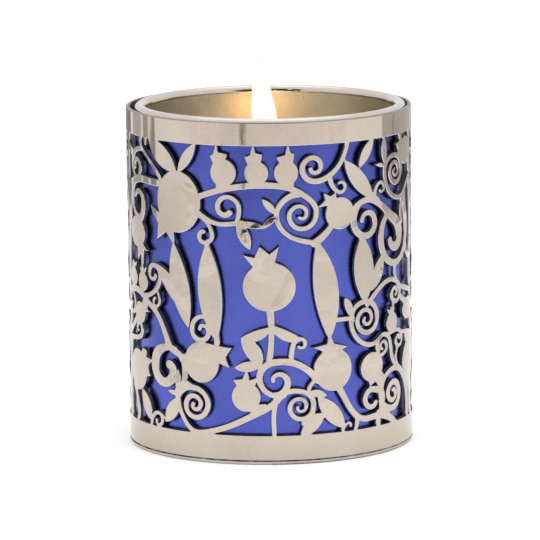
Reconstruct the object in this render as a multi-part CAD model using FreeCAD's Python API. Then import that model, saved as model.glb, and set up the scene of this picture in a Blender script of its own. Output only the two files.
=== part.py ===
"""Round votive candle holder: a pierced metal sleeve over a blue inner tube, on a base plate,
with a steel cup that lifts out and a tin candle that lifts out of the cup.

Millimetres, +Z up. The origin is the centre of the underside, and the front faces -Y.
The pierced pattern is drawn flat, as (u, z): u runs round the sleeve's outside from the
middle of the front, to the right as seen from outside, and z is the height. It is then
stretched by 0.4 percent in height and wrapped round the sleeve.
"""
import FreeCAD, Part
import math
import os

V = FreeCAD.Vector

# Holder
SLEEVE_R = 35.0            # outside of the pierced sleeve
SLEEVE_WALL = 0.9
SLEEVE_TOP = 83.2
BASE_THICK = 1.0
BASE_EDGE_ROUND = 0.45
BASE_EDGE_CHAMFER = 0.2
DRAWN_TOP = 82.9           # top of the flat drawing, which is stretched up to SLEEVE_TOP
BOTTOM_BAND_TOP = 7.25     # on the drawing
TOP_BAND_FOOT = 77.2       # on the drawing
SEAM_GAP = 0.2             # slit at the back where the rolled sheet's ends meet
SEAM_STRIP = 3.0           # plain strip on each side of the slit
SMALLEST_HOLE = 0.5        # square mm: anything smaller isn't cut through

LINER_R = 33.5
LINER_WALL = 0.4
LINER_TOP = 79.0
LINER_SEAM_GAP = 0.3
LOCATING_RIM_R = 33.0      # upstand of the base plate, inside the liner
LOCATING_RIM_WALL = 0.8
LOCATING_RIM_TOP = 5.0

# Solder that closes the back seam from inside
SOLDER_LENGTH = 9.0
SOLDER_WIDTH = 2.4
SOLDER_DEPTH = 0.35
SOLDER_HEIGHTS = (13.0, 42.0, 71.0)

# Cup
CUP_OFFSET = 0.35          # the cup stands a little to the right of the holder's axis
CUP_MOUTH_R = 30.5
CUP_WALL = 0.5
CUP_LIP_WIDTH = 2.9
CUP_LIP_TOP = 83.85
CUP_LIP_DROP = 0.9         # the lip's outer edge hangs this far below its middle
CUP_FOOT = BASE_THICK + 0.1
CUP_FOOT_R = 29.6
CUP_CORNER = 4.0

# Candle
TIN_R = 27.5
TIN_WALL = 0.35
TIN_FOOT = CUP_FOOT + CUP_WALL + 0.1
TIN_TOP = 70.0
TIN_CORNER = 2.0
TIN_BEAD = 0.55            # radius of the rolled bead round the tin's rim
WAX_TOP = 64.0
WAX_MENISCUS = 0.8
SUSTAINER_R = 9.0
SUSTAINER_THICK = 0.4
SUSTAINER_NECK_R = 2.0
SUSTAINER_NECK_TOP = 3.5   # above the tin's floor
WICK_R = 0.7
WICK_TOP = 71.0
WICK_LEAN = 1.6            # the burnt end leans over to the left


# ---------------------------------------------------------------- flat pattern shapes

def face_up(face):
    """The same flat face with its normal along +Z."""
    u0, u1, v0, v1 = face.ParameterRange
    if face.normalAt((u0 + u1) / 2, (v0 + v1) / 2).z < 0:
        face.reverse()
    return face


def flat_face(edges):
    return face_up(Part.Face(Part.Wire(Part.__sortEdges__(edges))))


def rectangle(u0, u1, z0, z1):
    return face_up(Part.makePlane(u1 - u0, z1 - z0, V(u0, z0, 0)))


def spline(points):
    curve = Part.BSplineCurve()
    curve.interpolate([V(u, z, 0) for u, z in points])
    return curve


def arc_edge(start, through, end):
    return Part.Arc(V(*start, 0), V(*through, 0), V(*end, 0)).toShape()


def polygon(points):
    corners = [V(u, z, 0) for u, z in points]
    return face_up(Part.Face(Part.makePolygon(corners + corners[:1])))


def share_of(values, share):
    """Value at a share from 0 to 1 along a list of equally spaced values."""
    place = share * (len(values) - 1)
    i = min(int(place), len(values) - 2)
    return values[i] + (values[i + 1] - values[i]) * (place - i)


def vine(points, widths):
    """A strip along a smooth line through the points, with a round end at each end."""
    centre = spline(points)
    stations = 2 * len(points) - 1
    sides = ([], [])
    ends = []
    for i in range(stations):
        share = i / (stations - 1)
        at = centre.FirstParameter + share * (centre.LastParameter - centre.FirstParameter)
        middle = centre.value(at)
        along = centre.tangent(at)[0]
        half = share_of(widths, share) / 2
        for side, turn in zip(sides, (1, -1)):
            side.append((middle.x - turn * half * along.y, middle.y + turn * half * along.x))
        if i in (0, stations - 1):
            out = half if i else -half
            ends.append((middle.x + out * along.x, middle.y + out * along.y))
    left, right = sides
    return flat_face([spline(left).toShape(), spline(right).toShape(),
                      arc_edge(left[0], ends[0], right[0]),
                      arc_edge(left[-1], ends[1], right[-1])])


def scroll(path, centre, turns, end_radius, widths):
    """A vine along the path that then winds in about the centre.

    It winds from the path's last point; turns are counter-clockwise, or clockwise where
    they are negative.
    """
    cu, cz = centre
    du, dz = path[-1][0] - cu, path[-1][1] - cz
    start_radius, start_angle = math.hypot(du, dz), math.atan2(dz, du)
    steps = max(3, round(abs(turns) * 8))
    winding = []
    for i in range(1, steps + 1):
        radius = start_radius + (end_radius - start_radius) * i / steps
        angle = start_angle + 2 * math.pi * turns * i / steps
        winding.append((cu + radius * math.cos(angle), cz + radius * math.sin(angle)))
    return vine(list(path) + winding, widths)


def leaf(base, tip, width, bend=0.0):
    """A pointed leaf of two arcs; bend moves its middle line to the left of base to tip."""
    du, dz = tip[0] - base[0], tip[1] - base[1]
    length = math.hypot(du, dz)
    mid_u, mid_z = (base[0] + tip[0]) / 2, (base[1] + tip[1]) / 2
    edges = []
    for side in (bend + width / 2, bend - width / 2):
        through = (mid_u - side * dz / length, mid_z + side * du / length)
        edges.append(arc_edge(base, through, tip))
    return flat_face(edges)


def body_oval(centre, width, height):
    long_side, short_side = max(width, height) / 2, min(width, height) / 2
    oval = Part.Ellipse(V(0, 0, 0), long_side, short_side).toShape()
    face = face_up(Part.Face(Part.Wire(oval)))
    if height > width:
        face.rotate(V(0, 0, 0), V(0, 0, 1), 90)
    face.translate(V(*centre, 0))
    return face


def crown(centre, reach, aim, spread=38, depth=0.42, spikes=3):
    """A fruit's crown: spikes that open out from near its centre, towards aim in degrees."""
    points = [centre]
    outer = [aim - spread + 2 * spread * i / (spikes - 1) for i in range(spikes)]
    for i, angle in enumerate(outer):
        tip = math.radians(angle)
        points.append((centre[0] + reach * math.cos(tip), centre[1] + reach * math.sin(tip)))
        if i < spikes - 1:
            notch = math.radians((angle + outer[i + 1]) / 2)
            inner = reach * (1 - depth / 2)
            points.append((centre[0] + inner * math.cos(notch),
                           centre[1] + inner * math.sin(notch)))
    return polygon(points)


def fruit(centre, width, height, aim, reach, spread=30):
    """A pomegranate with its crown pointing towards aim, in degrees."""
    return [body_oval(centre, width, height), crown(centre, reach, aim, spread)]


# ---------------------------------------------------------------- the front's pattern

def front_top_left():
    """The big fruit at the upper left with its leaves, branches and scrolls."""
    return [
        body_oval((-24.2, 63.0), 13.7, 15.2),
        polygon([(-28.0, 60.6), (-30.6, 60.0), (-34.0, 61.6), (-33.2, 59.6), (-30.9, 57.2),
                 (-31.4, 53.0), (-28.0, 55.3), (-25.0, 51.8), (-25.6, 56.8)]),
        leaf((-24.1, 70.0), (-34.6, 77.6), 5.0),
        leaf((-24.0, 69.9), (-18.5, 77.7), 2.9),
        vine([(-29.5, 67.6), (-33.0, 71.2), (-36.4, 73.7), (-38.2, 75.2), (-38.2, 78.0)],
             (1.4, 1.1, 1.3)),
        vine([(-36.2, 77.8), (-36.1, 75.9)], (1.3, 0.9)),
        vine([(-29.5, 67.0), (-35.0, 67.0), (-40.5, 66.9), (-44.0, 65.7), (-47.0, 64.6)],
             (1.8, 2.0, 2.2)),
        scroll([(-39.8, 66.9), (-38.9, 69.2)], (-40.9, 69.9), 0.6, 1.4, (1.6, 1.4, 1.1)),
        vine([(-41.4, 67.2), (-43.4, 69.2), (-43.7, 71.8), (-41.8, 73.6), (-38.4, 74.4)],
             (1.4, 1.4, 1.3)),
        vine([(-43.2, 72.6), (-47.4, 74.4)], (2.2, 2.0)),
        vine([(-41.8, 66.5), (-43.9, 63.6), (-43.5, 60.2), (-41.6, 58.1), (-38.6, 57.5)],
             (1.6, 1.5, 1.8)),
        scroll([(-40.4, 57.3), (-38.0, 58.6), (-37.5, 60.9)], (-40.0, 61.4), 0.45, 2.5,
               (1.9, 1.9, 1.1)),
        vine([(-44.8, 65.5), (-46.0, 60.5), (-45.2, 56.0)], (1.8, 1.6)),
        *fruit((-41.2, 53.9), 8.6, 7.8, -62, 7.2, 26),
        vine([(-38.4, 49.0), (-38.4, 45.2)], (1.1, 1.0)),
    ]


def front_top_middle():
    """The arched branch with three small fruits, and the scrolls hanging below it."""
    parts = [
        scroll([(-18.5, 64.4), (-12.5, 66.5), (-6.0, 67.7), (0.0, 67.9), (5.5, 66.9),
                (9.2, 64.7)], (7.5, 60.6), -1.5, 0.7, (1.6, 1.7, 1.8, 1.6, 1.4, 1.3, 1.0)),
        vine([(7.0, 65.6), (3.4, 64.1), (1.7, 61.1), (2.4, 58.0), (4.7, 55.6), (7.6, 54.4),
              (11.5, 53.6)], (1.8, 1.4, 1.3, 1.5)),
        leaf((1.9, 60.7), (-1.9, 64.8), 2.0),
        leaf((1.9, 60.7), (-2.1, 57.4), 1.7),
        scroll([(-8.0, 59.0), (-7.4, 61.4)], (-10.6, 62.3), 0.9, 1.4, (1.2, 1.3, 1.6)),
        vine([(-19.0, 61.8), (-15.6, 59.4), (-12.4, 58.4), (-9.0, 58.6), (-6.6, 58.9)],
             (1.5, 1.3, 1.4)),
        leaf((-8.9, 58.9), (-0.4, 57.6), 1.9, 0.1),
        leaf((-7.9, 59.4), (-4.7, 52.2), 3.0),
        scroll([(-17.6, 60.0), (-15.4, 58.4), (-14.5, 56.6)], (-16.4, 55.4), -0.8, 1.0,
               (1.1, 1.2, 1.3)),
        vine([(-15.4, 54.2), (-16.0, 52.5)], (1.0, 1.0)),
    ]
    for centre, width, height, top in (((-11.3, 70.8), 6.6, 6.9, (-13.1, 77.8)),
                                       ((-3.1, 70.8), 5.9, 6.1, (-3.9, 77.8)),
                                       ((4.1, 70.8), 6.0, 6.2, (4.5, 77.8))):
        parts.append(body_oval(centre, width, height))
        u, z = centre
        lean = (top[0] - u) * 0.45
        parts.append(polygon([(u - 1.5 + lean, z + 1.5), (u - 2.6 + lean, z + 3.9),
                              (top[0] - 0.7, z + 4.5), top, (top[0] + 0.8, z + 5.0),
                              (u + 1.9 + lean, z + 4.6), (u + 1.5 + lean, z + 1.5)]))
        parts.append(rectangle(u - 1.9, u + 1.9, z - 3.7, z - 2.4))
    return parts


def front_top_right():
    """The scrolls, leaves and fruits at the upper right."""
    return [
        scroll([(20.1, 78.0), (19.1, 74.7), (17.2, 71.6), (14.6, 69.5), (11.4, 68.5)],
               (10.9, 71.9), -1.2, 0.9, (1.3, 1.4, 1.6, 1.5, 1.4, 1.2)),
        scroll([(14.9, 69.8), (15.6, 67.4), (16.8, 65.9)], (18.0, 66.9), 0.72, 0.9,
               (1.5, 1.1, 0.9)),
        body_oval((17.8, 60.4), 7.9, 8.0),
        polygon([(14.5, 60.6), (14.6, 62.4), (11.4, 62.0), (13.7, 63.9), (13.3, 65.7),
                 (15.2, 64.8), (16.5, 65.6), (17.3, 63.0)]),
        vine([(15.8, 58.0), (13.4, 55.4), (11.0, 53.6)], (1.6, 2.2)),
        leaf((19.0, 73.3), (28.4, 62.7), 4.3, -0.3),
        leaf((23.3, 70.6), (28.4, 77.8), 3.0, 0.2),
        scroll([(20.5, 60.0), (22.8, 61.9), (26.0, 62.9), (29.3, 62.0), (32.0, 60.3),
                (35.2, 57.9), (37.9, 56.1), (39.4, 53.2)], (36.7, 52.6), -0.5, 2.1,
               (1.5, 1.7, 1.7, 1.8, 2.6, 3.3, 3.0, 1.6)),
        scroll([(23.6, 62.4), (22.1, 60.0), (21.7, 57.6), (22.9, 55.2)], (25.8, 57.6), 0.85, 1.6,
               (1.6, 1.9, 1.8, 1.3)),
        vine([(27.6, 63.6), (29.6, 62.2)], (2.2, 1.8)),
        scroll([(28.4, 62.6), (29.0, 65.3), (30.3, 66.5)], (31.0, 65.2), -0.7, 0.75,
               (1.5, 1.1, 0.8)),
        leaf((32.8, 70.2), (32.3, 78.0), 2.3, 0.2),
        leaf((33.0, 70.4), (28.8, 71.1), 1.2),
        scroll([(32.6, 69.6), (34.2, 71.9), (37.0, 72.5)], (37.2, 68.7), -1.9, 0.5,
               (1.3, 1.4, 1.5, 1.2, 0.9)),
        vine([(32.6, 70.3), (32.7, 67.0), (34.2, 64.1), (37.0, 62.3), (40.0, 62.0),
              (43.6, 64.2), (47.0, 66.4)], (1.4, 1.3, 1.4, 1.8)),
        *fruit((43.6, 72.9), 7.8, 7.0, 158, 6.0, 30),
        vine([(39.8, 77.9), (41.0, 75.0)], (1.6, 1.6)),
        vine([(41.4, 62.4), (40.6, 60.0), (40.6, 55.8)], (1.8, 1.3, 1.5)),
        vine([(33.9, 58.6), (31.4, 55.8), (30.9, 52.6), (31.6, 49.6), (33.6, 47.3),
              (36.6, 46.2), (39.8, 47.0), (42.6, 49.8), (43.8, 54.0), (43.0, 58.5),
              (42.4, 62.5)], (1.8, 2.2, 1.9, 2.0, 2.3, 2.2)),
        vine([(43.4, 49.6), (45.0, 47.4), (47.0, 46.3)], (1.8, 1.5)),
    ]


def front_middle():
    """The middle row: a large fruit on its stem between tall upright leaves."""
    return [
        # large fruit, its stem and the two leaves under it
        *fruit((-0.2, 43.4), 13.0, 12.2, 103, 10.2, 27),
        vine([(-0.2, 38.5), (0.2, 33.0), (-0.4, 25.2)], (2.0, 1.5, 1.7)),
        leaf((0.2, 33.8), (-7.3, 31.1), 2.8, 0.9),
        leaf((-0.2, 34.4), (8.2, 30.3), 2.8, -0.9),
        # tall leaves on its left
        leaf((-13.4, 29.4), (-15.6, 54.2), 6.4, 0.6),
        leaf((-21.1, 32.4), (-25.6, 53.4), 5.8, 0.4),
        leaf((-22.2, 36.0), (-32.4, 47.4), 4.0, -1.0),
        # tall leaves on its right
        leaf((14.7, 29.6), (11.6, 54.4), 6.6, -0.8),
        leaf((25.0, 37.6), (24.0, 54.6), 6.4, -0.4),
        leaf((26.2, 40.2), (31.4, 49.4), 3.8, -0.7),
    ]


def front_left():
    """The branch with two small fruits, and the scrolls at the left edge."""
    return [
        *fruit((-44.1, 42.6), 4.8, 5.4, 90, 4.3, 28),
        *fruit((-38.2, 42.0), 4.8, 5.0, 90, 4.3, 28),
        vine([(-47.0, 38.9), (-44.5, 39.5), (-39.5, 39.2), (-35.5, 37.3), (-31.8, 35.0),
              (-29.2, 31.4), (-27.2, 27.6)], (1.8, 1.9, 1.8, 1.7, 2.0)),
        scroll([(-38.0, 38.8), (-34.0, 39.5), (-31.2, 41.9), (-30.5, 44.5)], (-33.1, 44.5), 0.95,
               0.9, (1.3, 1.3, 1.4, 1.1)),
        scroll([(-32.2, 41.0), (-30.9, 39.0), (-31.1, 37.2)], (-32.2, 37.9), -0.6, 0.8,
               (1.0, 0.9, 0.9)),
        vine([(-32.4, 36.8), (-33.6, 36.0)], (0.9, 1.2)),
        *fruit((-40.1, 34.1), 5.7, 5.6, 35, 5.4, 28),
        vine([(-42.0, 32.6), (-44.6, 30.6), (-47.0, 29.0)], (1.5, 1.4, 1.6)),
        scroll([(-47.0, 26.8), (-44.0, 27.4), (-40.8, 27.9)], (-40.8, 30.1), 0.85, 0.9,
               (1.8, 1.4, 1.4, 1.3, 1.1)),
        scroll([(-46.6, 38.8), (-44.0, 37.9), (-43.2, 35.6)], (-45.2, 35.2), -0.65, 1.0,
               (1.2, 1.3, 1.1)),
        body_oval((-41.8, 19.8), 10.0, 10.4),
        polygon([(-41.0, 23.0), (-38.6, 25.6), (-36.9, 25.4), (-36.6, 23.6), (-33.6, 23.2),
                 (-36.0, 21.6), (-35.2, 18.9), (-38.4, 18.4)]),
        leaf((-39.2, 15.6), (-34.4, 8.0), 3.9),
        scroll([(-34.6, 6.6), (-34.4, 8.6), (-33.0, 10.2)], (-31.7, 8.7), -0.85, 0.8,
               (1.2, 1.1, 1.0)),
        vine([(-31.2, 10.5), (-29.6, 9.8), (-28.8, 9.2)], (1.0, 0.8)),
        vine([(-44.5, 15.6), (-42.4, 12.8), (-41.6, 9.8), (-42.4, 6.6)], (1.8, 1.6, 1.7)),
    ]


def front_low_left():
    """The fruit, the thick ring scroll and the long bottom vine at the lower left."""
    return [
        scroll([(-13.5, 27.8), (-13.4, 31.5), (-14.6, 34.5), (-17.2, 35.7), (-19.7, 34.1),
                (-20.0, 31.8), (-18.6, 30.1), (-16.5, 30.2)], (-17.3, 32.3), 0.62, 0.7,
               (1.7, 1.3, 1.2, 1.3, 1.5, 1.4, 1.1)),
        body_oval((-17.6, 24.5), 9.6, 10.2),
        polygon([(-16.0, 29.4), (-12.2, 28.8), (-9.4, 28.5), (-11.1, 26.0), (-10.0, 23.4),
                 (-12.8, 24.4), (-14.6, 20.4)]),
        vine([(-28.0, 29.0), (-26.9, 27.2), (-23.4, 25.4), (-22.4, 21.8), (-22.9, 18.6),
              (-24.6, 16.0)], (2.0, 1.8, 1.7, 1.8)),
        vine([(-23.0, 25.0), (-20.0, 25.0)], (2.4, 3.0)),
        scroll([(-25.2, 26.9), (-28.6, 27.1), (-31.8, 25.4), (-32.8, 22.3), (-31.6, 19.5),
                (-28.9, 18.4), (-26.5, 19.8)], (-28.1, 22.0), 0.3, 1.2,
               (1.5, 1.9, 2.8, 3.2, 2.9, 2.5, 2.8, 2.4)),
        leaf((-24.6, 16.2), (-24.5, 22.4), 2.0),
        leaf((-23.6, 15.9), (-28.1, 16.6), 1.5),
        leaf((-24.0, 15.4), (-29.0, 8.5), 3.8),
        vine([(-24.8, 17.0), (-24.2, 13.2), (-22.5, 9.9), (-19.8, 7.5), (-16.2, 7.6),
              (-10.6, 9.2), (-4.6, 12.0), (0.4, 14.8), (2.2, 16.6)],
             (1.6, 1.4, 1.5, 1.7, 1.8, 1.8)),
        scroll([(-24.6, 15.6), (-22.4, 17.7), (-19.4, 18.1)], (-19.5, 14.0), -1.8, 0.5,
               (1.7, 1.5, 1.5, 1.2)),
        vine([(-22.6, 19.4), (-20.2, 18.4)], (1.4, 1.2)),
    ]


def front_low_middle():
    """The small fruit, the arch and the bottom scrolls in the middle."""
    return [
        body_oval((-6.1, 16.6), 7.2, 7.4),
        polygon([(-8.0, 18.6), (-9.4, 20.8), (-7.0, 21.1), (-5.9, 23.4), (-5.1, 20.9),
                 (-2.8, 21.6), (-4.1, 18.8)]),
        vine([(-5.0, 13.8), (-1.5, 14.4)], (2.0, 1.4)),
        leaf((-2.0, 24.4), (-9.1, 23.6), 2.8),
        leaf((-2.2, 23.8), (-7.3, 31.2), 4.0, -0.5),
        vine([(3.0, 17.0), (0.0, 17.2), (-2.1, 18.9), (-2.8, 21.6), (-1.4, 24.1), (2.2, 25.2),
              (5.8, 24.7), (9.0, 22.9), (11.6, 20.4)], (1.7, 1.5, 1.7, 1.9, 1.9, 1.8, 2.2)),
        scroll([(1.0, 17.0), (3.4, 18.3)], (1.6, 20.4), 0.62, 1.1, (1.9, 1.7, 1.1)),
        scroll([(4.8, 25.2), (5.2, 28.2), (6.2, 30.2)], (7.3, 29.3), -0.75, 0.8,
               (1.5, 1.3, 0.9)),
        scroll([(0.7, 6.4), (0.7, 13.2), (1.9, 16.4), (4.2, 17.8), (6.8, 17.9)], (7.0, 14.0),
               -1.75, 0.6, (1.2, 1.3, 1.5, 1.4, 1.4, 1.2, 0.9)),
        body_oval((15.6, 22.6), 10.4, 10.7),
        polygon([(13.6, 26.0), (12.6, 27.2), (10.0, 28.3), (13.8, 29.0), (14.8, 31.4),
                 (15.9, 29.0), (20.0, 27.9), (17.1, 26.8), (17.0, 25.6)]),
        vine([(11.4, 20.6), (9.4, 18.6), (9.2, 16.8)], (1.1, 1.2)),
        leaf((8.6, 17.2), (14.0, 16.2), 2.1, 0.4),
        vine([(10.0, 16.6), (10.4, 14.0), (9.8, 11.4), (8.0, 9.9)], (1.2, 1.2, 1.5)),
        leaf((11.4, 16.4), (18.9, 7.8), 4.4),
        leaf((13.4, 12.4), (6.9, 6.6), 3.4),
        vine([(9.6, 11.6), (13.0, 11.6)], (1.2, 1.6)),
        vine([(16.6, 18.6), (19.1, 14.6), (21.4, 11.3), (23.8, 9.7), (28.0, 9.7), (32.5, 9.2),
              (35.0, 8.0), (37.2, 6.4)], (1.9, 1.7, 1.7, 1.8, 2.2, 1.5)),
        vine([(22.3, 10.6), (22.3, 8.8), (21.4, 6.6)], (1.3, 1.3)),
        scroll([(18.4, 6.6), (18.4, 8.2), (19.4, 9.0)], (19.9, 8.4), -0.4, 0.5, (1.1, 0.8)),
    ]


def front_low_right():
    """The fruits and ring scrolls at the lower right."""
    return [
        body_oval((27.4, 21.9), 7.7, 7.5),
        polygon([(25.6, 19.4), (26.6, 17.2), (28.6, 18.0), (30.0, 16.0), (31.9, 19.4),
                 (30.2, 21.0)]),
        scroll([(31.0, 13.4), (30.3, 15.6), (28.2, 16.3)], (27.1, 14.0), 0.72, 1.7,
               (2.2, 1.6, 1.5)),
        vine([(29.4, 10.0), (30.8, 12.4), (30.6, 16.0), (32.2, 18.9), (35.4, 20.3),
              (38.6, 20.0), (41.6, 17.6), (43.6, 14.2), (44.3, 10.6), (44.0, 6.4)],
             (1.8, 2.0, 1.5, 1.8, 1.8, 1.7, 1.7)),
        vine([(29.4, 10.4), (29.4, 6.4)], (1.7, 1.8)),
        scroll([(30.4, 13.2), (32.4, 11.4), (35.2, 10.7)], (35.6, 14.3), 1.5, 0.8,
               (1.6, 1.9, 1.9, 1.6, 1.3)),
        vine([(21.2, 36.0), (20.8, 33.2), (22.2, 29.8), (25.0, 27.8), (28.6, 27.8),
              (31.6, 29.3), (33.8, 28.4), (34.7, 26.0), (35.3, 23.4), (37.2, 21.1)],
             (1.4, 1.3, 1.4, 1.3, 1.3, 1.4)),
        vine([(29.3, 28.0), (29.5, 24.6)], (1.5, 1.6)),
        scroll([(29.6, 24.2), (31.4, 24.6), (32.8, 25.8)], (31.4, 26.4), 0.75, 0.7,
               (1.3, 1.1, 0.9)),
        scroll([(32.4, 29.1), (36.0, 29.5), (39.2, 29.2)], (38.6, 27.1), -1.15, 0.7,
               (1.3, 1.2, 1.1)),
        vine([(38.3, 25.4), (37.2, 22.6), (38.4, 20.6)], (1.1, 1.0)),
        vine([(39.8, 28.6), (44.0, 28.2), (47.0, 27.7)], (1.3, 1.3)),
        *fruit((35.4, 31.7), 5.0, 5.4, 96, 4.3, 26),
        vine([(35.6, 35.2), (36.2, 36.6)], (1.1, 1.1)),
        scroll([(25.8, 37.4), (28.6, 39.8), (31.6, 41.7), (34.8, 42.4), (37.6, 41.6)],
               (37.0, 38.8), -1.35, 0.6, (1.5, 1.5, 1.4, 1.4, 1.1)),
        vine([(37.4, 42.0), (36.8, 44.2), (37.4, 46.2)], (1.2, 1.0)),
        vine([(39.2, 38.0), (42.0, 36.3), (45.5, 35.4)], (1.4, 1.8)),
        vine([(38.6, 40.4), (43.5, 39.0), (47.0, 38.2)], (1.4, 1.5)),
        body_oval((45.2, 33.9), 7.6, 5.8),
        body_oval((45.6, 20.9), 9.0, 11.0),
        polygon([(43.8, 24.0), (42.6, 28.4), (45.4, 26.9), (47.6, 28.6), (47.8, 24.0)]),
        vine([(44.6, 16.4), (46.4, 13.4), (47.2, 9.6)], (1.8, 1.8)),
        scroll([(21.1, 34.0), (21.5, 36.6), (24.6, 38.2)], (25.4, 33.9), -1.85, 0.6,
               (1.4, 1.5, 1.5, 1.3, 1.0)),
        leaf((20.6, 34.8), (18.8, 39.9), 2.2, -0.4),
        vine([(16.6, 34.6), (21.2, 34.6)], (1.3, 1.3)),
    ]


# ---------------------------------------------------------------- sides and back

SPRAY_PITCH = 30.6         # width of one spray of the sides and back
SPRAY_START = 47.6         # where the first one begins, either side of the front


def spray():
    """One full-height spray: a waving stem with scrolls, leaves and three fruits."""
    return [
        vine([(-1.0, 6.4), (-7.4, 14.0), (-7.6, 24.0), (-0.8, 33.0), (6.0, 42.0), (7.6, 53.0),
              (3.0, 66.0), (-3.0, 78.0)], (2.0, 1.8, 1.7, 1.6)),
        scroll([(-8.0, 15.0), (-4.6, 9.6), (1.6, 8.6), (6.4, 11.4)], (2.0, 15.4), 1.45, 0.7,
               (1.8, 1.7, 1.6, 1.5, 1.1)),
        leaf((6.6, 10.6), (14.8, 6.6), 3.2),
        scroll([(6.4, 11.4), (10.6, 13.0), (12.8, 16.0)], (10.2, 17.6), 0.85, 0.8,
               (1.3, 1.2, 1.0)),
        leaf((-8.2, 19.4), (-14.8, 12.4), 4.0),
        scroll([(-8.2, 21.2), (-11.6, 24.0), (-13.4, 28.2)], (-10.2, 29.4), -0.95, 0.9,
               (1.5, 1.3, 1.1)),
        *fruit((7.4, 27.2), 9.6, 10.4, 62, 8.2, 28),
        vine([(-6.2, 26.4), (-1.0, 24.0), (4.0, 25.0)], (1.6, 1.4, 1.8)),
        vine([(11.0, 25.0), (15.3, 22.8)], (1.6, 1.6)),
        leaf((1.6, 35.4), (12.4, 38.4), 4.0, -0.4),
        vine([(11.0, 38.0), (15.3, 39.2)], (1.2, 1.4)),
        scroll([(1.0, 34.6), (-4.6, 34.4), (-9.2, 37.4)], (-6.4, 42.0), -1.35, 0.9,
               (1.6, 1.6, 1.5, 1.1)),
        vine([(-10.8, 41.0), (-15.3, 40.2)], (1.4, 1.4)),
        leaf((-9.4, 46.2), (-12.6, 54.4), 3.4, 0.3),
        vine([(-9.5, 45.1), (-9.5, 46.8)], (1.4, 1.4)),
        *fruit((-2.6, 54.4), 8.4, 9.2, 118, 7.4, 28),
        vine([(7.2, 48.8), (3.0, 49.2), (-0.6, 51.6)], (1.5, 1.4, 1.8)),
        scroll([(7.4, 50.0), (11.8, 47.4), (14.0, 50.6)], (11.2, 52.4), 0.95, 0.9,
               (1.4, 1.3, 1.1)),
        scroll([(7.3, 57.2), (11.4, 60.0), (13.4, 64.8)], (8.9, 67.4), 1.25, 0.8,
               (1.6, 1.6, 1.5, 1.1)),
        vine([(12.6, 62.4), (15.3, 60.8)], (1.4, 1.4)),
        leaf((11.2, 70.8), (13.8, 78.0), 3.2),
        *fruit((-9.2, 68.0), 7.2, 7.8, 104, 6.6, 28),
        vine([(3.2, 65.4), (-1.6, 65.0), (-6.6, 66.4)], (1.5, 1.3, 1.6)),
        vine([(-11.6, 66.0), (-15.3, 63.6)], (1.4, 1.4)),
        vine([(-9.8, 72.0), (-10.2, 78.0)], (1.2, 1.4)),
        leaf((-12.6, 64.6), (-11.6, 57.6), 2.6),
    ]


def stem_between_sprays(u):
    """A gently waving upright stem from the bottom band to the top band."""
    sway = 0.5
    return vine([(u, 6.2), (u - sway, 18.0), (u + sway, 31.0), (u - sway, 44.0),
                 (u + sway, 57.0), (u - sway, 69.0), (u, 78.2)], (2.2, 1.9, 1.9, 2.2))


def sides_and_back():
    parts = []
    for side in (-1, 1):
        for i in range(2):
            middle = SPRAY_START + SPRAY_PITCH * (i + 0.5)
            for piece in spray():
                if side * (1 if i == 0 else -1) < 0:
                    piece = piece.mirror(V(0, 0, 0), V(1, 0, 0))
                piece.translate(V(side * middle, 0, 0))
                parts.append(face_up(piece))
            parts.append(stem_between_sprays(side * (SPRAY_START + SPRAY_PITCH * i)))
    return parts


# ---------------------------------------------------------------- pierced sleeve

def flat_pattern():
    """The whole sleeve laid flat, as one face with its holes."""
    half = math.pi * SLEEVE_R - SEAM_GAP / 2
    parts = [
        rectangle(-half, half, BASE_THICK, BOTTOM_BAND_TOP),
        rectangle(-half, half, TOP_BAND_FOOT, DRAWN_TOP),
        rectangle(-half, -half + SEAM_STRIP, BASE_THICK, DRAWN_TOP),
        rectangle(half - SEAM_STRIP, half, BASE_THICK, DRAWN_TOP),
    ]
    for group in (front_top_left, front_top_middle, front_top_right, front_middle,
                  front_left, front_low_left, front_low_middle, front_low_right,
                  sides_and_back):
        parts += group()
    joined = parts[0].fuse(parts[1:])
    faces = Part.Shell(joined.Faces).removeSplitter().Faces
    return max(faces, key=lambda face: face.Area)


def rolled_surface(radius):
    """A cylinder whose own zero angle is at the back, where the seam is."""
    surface = Part.Cylinder()
    surface.Radius = radius
    turn = FreeCAD.Matrix()
    turn.rotateZ(math.pi / 2)
    surface.transform(turn)
    return surface


def rolled_curve(edge):
    """A flat edge as a curve in a cylinder's own angle and height."""
    stretch = (SLEEVE_TOP - BASE_THICK) / (DRAWN_TOP - BASE_THICK)
    curve = edge.Curve.toBSpline(*edge.ParameterRange)
    if curve.isPeriodic():
        curve.setNotPeriodic()
    poles = [FreeCAD.Base.Vector2d(math.pi + p.x / SLEEVE_R,
                                   BASE_THICK + (p.y - BASE_THICK) * stretch)
             for p in curve.getPoles()]
    counts, knots = list(curve.getMultiplicities()), list(curve.getKnots())
    weights = list(curve.getWeights())
    if edge.Orientation == "Reversed":
        poles, counts, weights = poles[::-1], counts[::-1], weights[::-1]
        knots = [knots[0] + knots[-1] - knot for knot in reversed(knots)]
    rolled = Part.Geom2d.BSplineCurve2d()
    rolled.buildFromPolesMultsKnots(poles, counts, knots, False, curve.Degree, weights)
    return rolled


def rolled_face(surface, loops):
    face = Part.Face(surface, Part.Wire(loops[0]))
    for loop in loops[1:]:
        face = Part.Face(face, Part.Wire(loop))
    return face


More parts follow.
